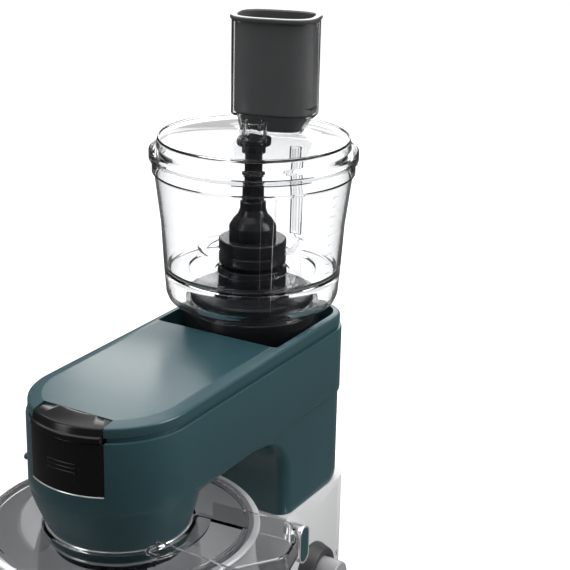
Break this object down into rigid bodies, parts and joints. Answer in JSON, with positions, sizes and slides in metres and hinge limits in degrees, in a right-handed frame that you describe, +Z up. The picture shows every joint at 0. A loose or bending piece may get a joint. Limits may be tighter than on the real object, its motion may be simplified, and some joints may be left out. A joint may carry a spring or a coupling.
{
  "type": "food processor",
  "caption": "Tilt-head kitchen machine carrying a clear food-processor bowl with lid, feed chute and pusher on its rear outlet, and a steel mixing bowl with guard under its nose",
  "frame": {"origin": "centre of the whole machine's footprint, on the plane its feet stand on", "axes": "+Z up; +X along the head from the nose to the rear column; -Y is the side with the speed knob and release lever"},
  "size_m": [0.4724, 0.318, 0.6384],
  "materials": {
    "teal_shell": "satin moulded shell",
    "black_gloss": "glossy black",
    "dark_plastic": "matte dark grey",
    "knob_plastic": "satin light grey",
    "pointer_red": "printed red",
    "silver_base": "satin silver paint",
    "chrome_trim": "polished",
    "brushed_bowl": "brushed",
    "steel_part": "plain",
    "blade_steel": "polished",
    "winding_copper": "lacquered windings and core",
    "belt_rubber": "matte",
    "foot_rubber": "matte",
    "board_green": "circuit board",
    "clear_plastic": "clear moulded plastic",
    "smoke_plastic": "smoky clear plastic",
    "pusher_plastic": "glossy dark grey"
  },
  "bodies": {
    "base": {"base_housing": "silver_base", "bottom_plate": "dark_plastic", "foot_rear_left": "foot_rubber", "foot_rear_right": "foot_rubber", "foot_front_left": "foot_rubber", "foot_front_right": "foot_rubber", "bowl_seat": "black_gloss", "hinge_bracket_left": "steel_part", "hinge_bracket_right": "steel_part", "tilt_pin": "steel_part", "dial_bezel": "dark_plastic", "control_board": "board_green", "cord_gland": "foot_rubber"},
    "speed_knob": {"speed_knob": "knob_plastic", "knob_pointer": "pointer_red"},
    "release_lever": {"release_lever": "chrome_trim", "lever_inlay": "teal_shell", "latch_hook": "steel_part"},
    "head": {"head_shell": "teal_shell", "top_cover": "teal_shell", "front_cap": "black_gloss", "nose_ring_upper": "chrome_trim", "nose_band": "teal_shell", "nose_ring_lower": "chrome_trim", "outlet_well": "black_gloss", "motor_stator": "winding_copper", "tilt_frame": "steel_part", "latch_keeper": "steel_part", "chassis_plate": "steel_part", "drive_belt": "belt_rubber", "ring_gear": "steel_part", "front_outlet_collar": "dark_plastic"},
    "motor": {"motor_rotor": "steel_part", "motor_shaft": "steel_part", "motor_fan": "dark_plastic", "drive_pulley": "dark_plastic", "top_coupling": "dark_plastic"},
    "carrier": {"driven_pulley": "dark_plastic", "carrier_shaft": "steel_part", "bevel_wheel": "steel_part", "planet_carrier": "black_gloss"},
    "tool": {"planet_pinion": "steel_part", "tool_socket": "black_gloss", "dough_hook": "steel_part"},
    "front_outlet": {"front_outlet_shaft": "steel_part"},
    "front_door": {"front_door": "black_gloss"},
    "lock_button": {"lock_button": "teal_shell"},
    "processor": {"adapter_base": "black_gloss", "processor_bowl": "clear_plastic", "interlock_rod": "clear_plastic"},
    "lid": {"processor_lid": "clear_plastic", "lid_bearing": "black_gloss"},
    "pusher": {"food_pusher": "pusher_plastic"},
    "spindle": {"drive_spindle": "black_gloss", "blade_hub": "black_gloss", "blade_upper": "blade_steel", "blade_lower": "blade_steel"},
    "mixing_bowl": {"mixing_bowl": "brushed_bowl"},
    "splash_guard": {"splash_guard": "smoke_plastic"}
  },
  "joints": [
    {"name": "head_tilt", "type": "hinge", "parent": "base", "child": "head", "pos_m": [0.19875, 0.02603, 0.154], "axis": [0, 1, 0], "range_deg": [0, 35]},
    {"name": "release_lever_turn", "type": "hinge", "parent": "base", "child": "release_lever", "pos_m": [0.08325, -0.06397, 0.12], "axis": [0, 1, 0], "range_deg": [-8, 15]},
    {"name": "speed_knob_turn", "type": "hinge", "parent": "base", "child": "speed_knob", "pos_m": [0.12775, -0.07397, 0.061], "axis": [0, -1, 0], "range_deg": [0, 270]},
    {"name": "motor_spin", "type": "hinge", "parent": "head", "child": "motor", "pos_m": [0.13125, 0.02603, 0.235], "axis": [0, 0, 1], "continuous": true},
    {"name": "carrier_spin", "type": "hinge", "parent": "head", "child": "carrier", "pos_m": [-0.10325, 0.02603, 0.235], "axis": [0, 0, 1], "continuous": true},
    {"name": "tool_spin", "type": "hinge", "parent": "carrier", "child": "tool", "pos_m": [-0.12414, 0.00113, 0.185], "axis": [0, 0, 1], "continuous": true},
    {"name": "front_outlet_spin", "type": "hinge", "parent": "head", "child": "front_outlet", "pos_m": [-0.14875, 0.02603, 0.2935], "axis": [1, 0, 0], "continuous": true},
    {"name": "front_door_slide", "type": "slide", "parent": "head", "child": "front_door", "axis": [-1, 0, 0], "range_m": [0, 0.06]},
    {"name": "lock_button_press", "type": "slide", "parent": "head", "child": "lock_button", "axis": [0, -1, 0], "range_m": [0, 0.003], "stiffness_N_per_m": 300},
    {"name": "processor_lift", "type": "slide", "parent": "head", "child": "processor", "axis": [0, 0, 1], "range_m": [0, 0.12]},
    {"name": "lid_lift", "type": "slide", "parent": "processor", "child": "lid", "axis": [0, 0, 1], "range_m": [0, 0.15]},
    {"name": "pusher_lift", "type": "slide", "parent": "lid", "child": "pusher", "axis": [0, 0, 1], "range_m": [0, 0.12]},
    {"name": "spindle_spin", "type": "hinge", "parent": "processor", "child": "spindle", "pos_m": [0.13125, 0.02603, 0.395], "axis": [0, 0, 1], "continuous": true},
    {"name": "mixing_bowl_twist", "type": "hinge", "parent": "base", "child": "mixing_bowl", "pos_m": [-0.10325, 0.02603, 0.135], "axis": [0, 0, 1], "range_deg": [0, 25]},
    {"name": "splash_guard_twist", "type": "hinge", "parent": "head", "child": "splash_guard", "pos_m": [-0.10325, 0.02603, 0.195], "axis": [0, 0, 1], "range_deg": [0, 20]}
  ],
  "couplings": [
    {"joint": "carrier_spin", "follows": "motor_spin", "ratio": 0.3},
    {"joint": "tool_spin", "follows": "motor_spin", "ratio": -0.85714},
    {"joint": "front_outlet_spin", "follows": "motor_spin", "ratio": -0.68571},
    {"joint": "spindle_spin", "follows": "motor_spin", "ratio": 1}
  ]
}
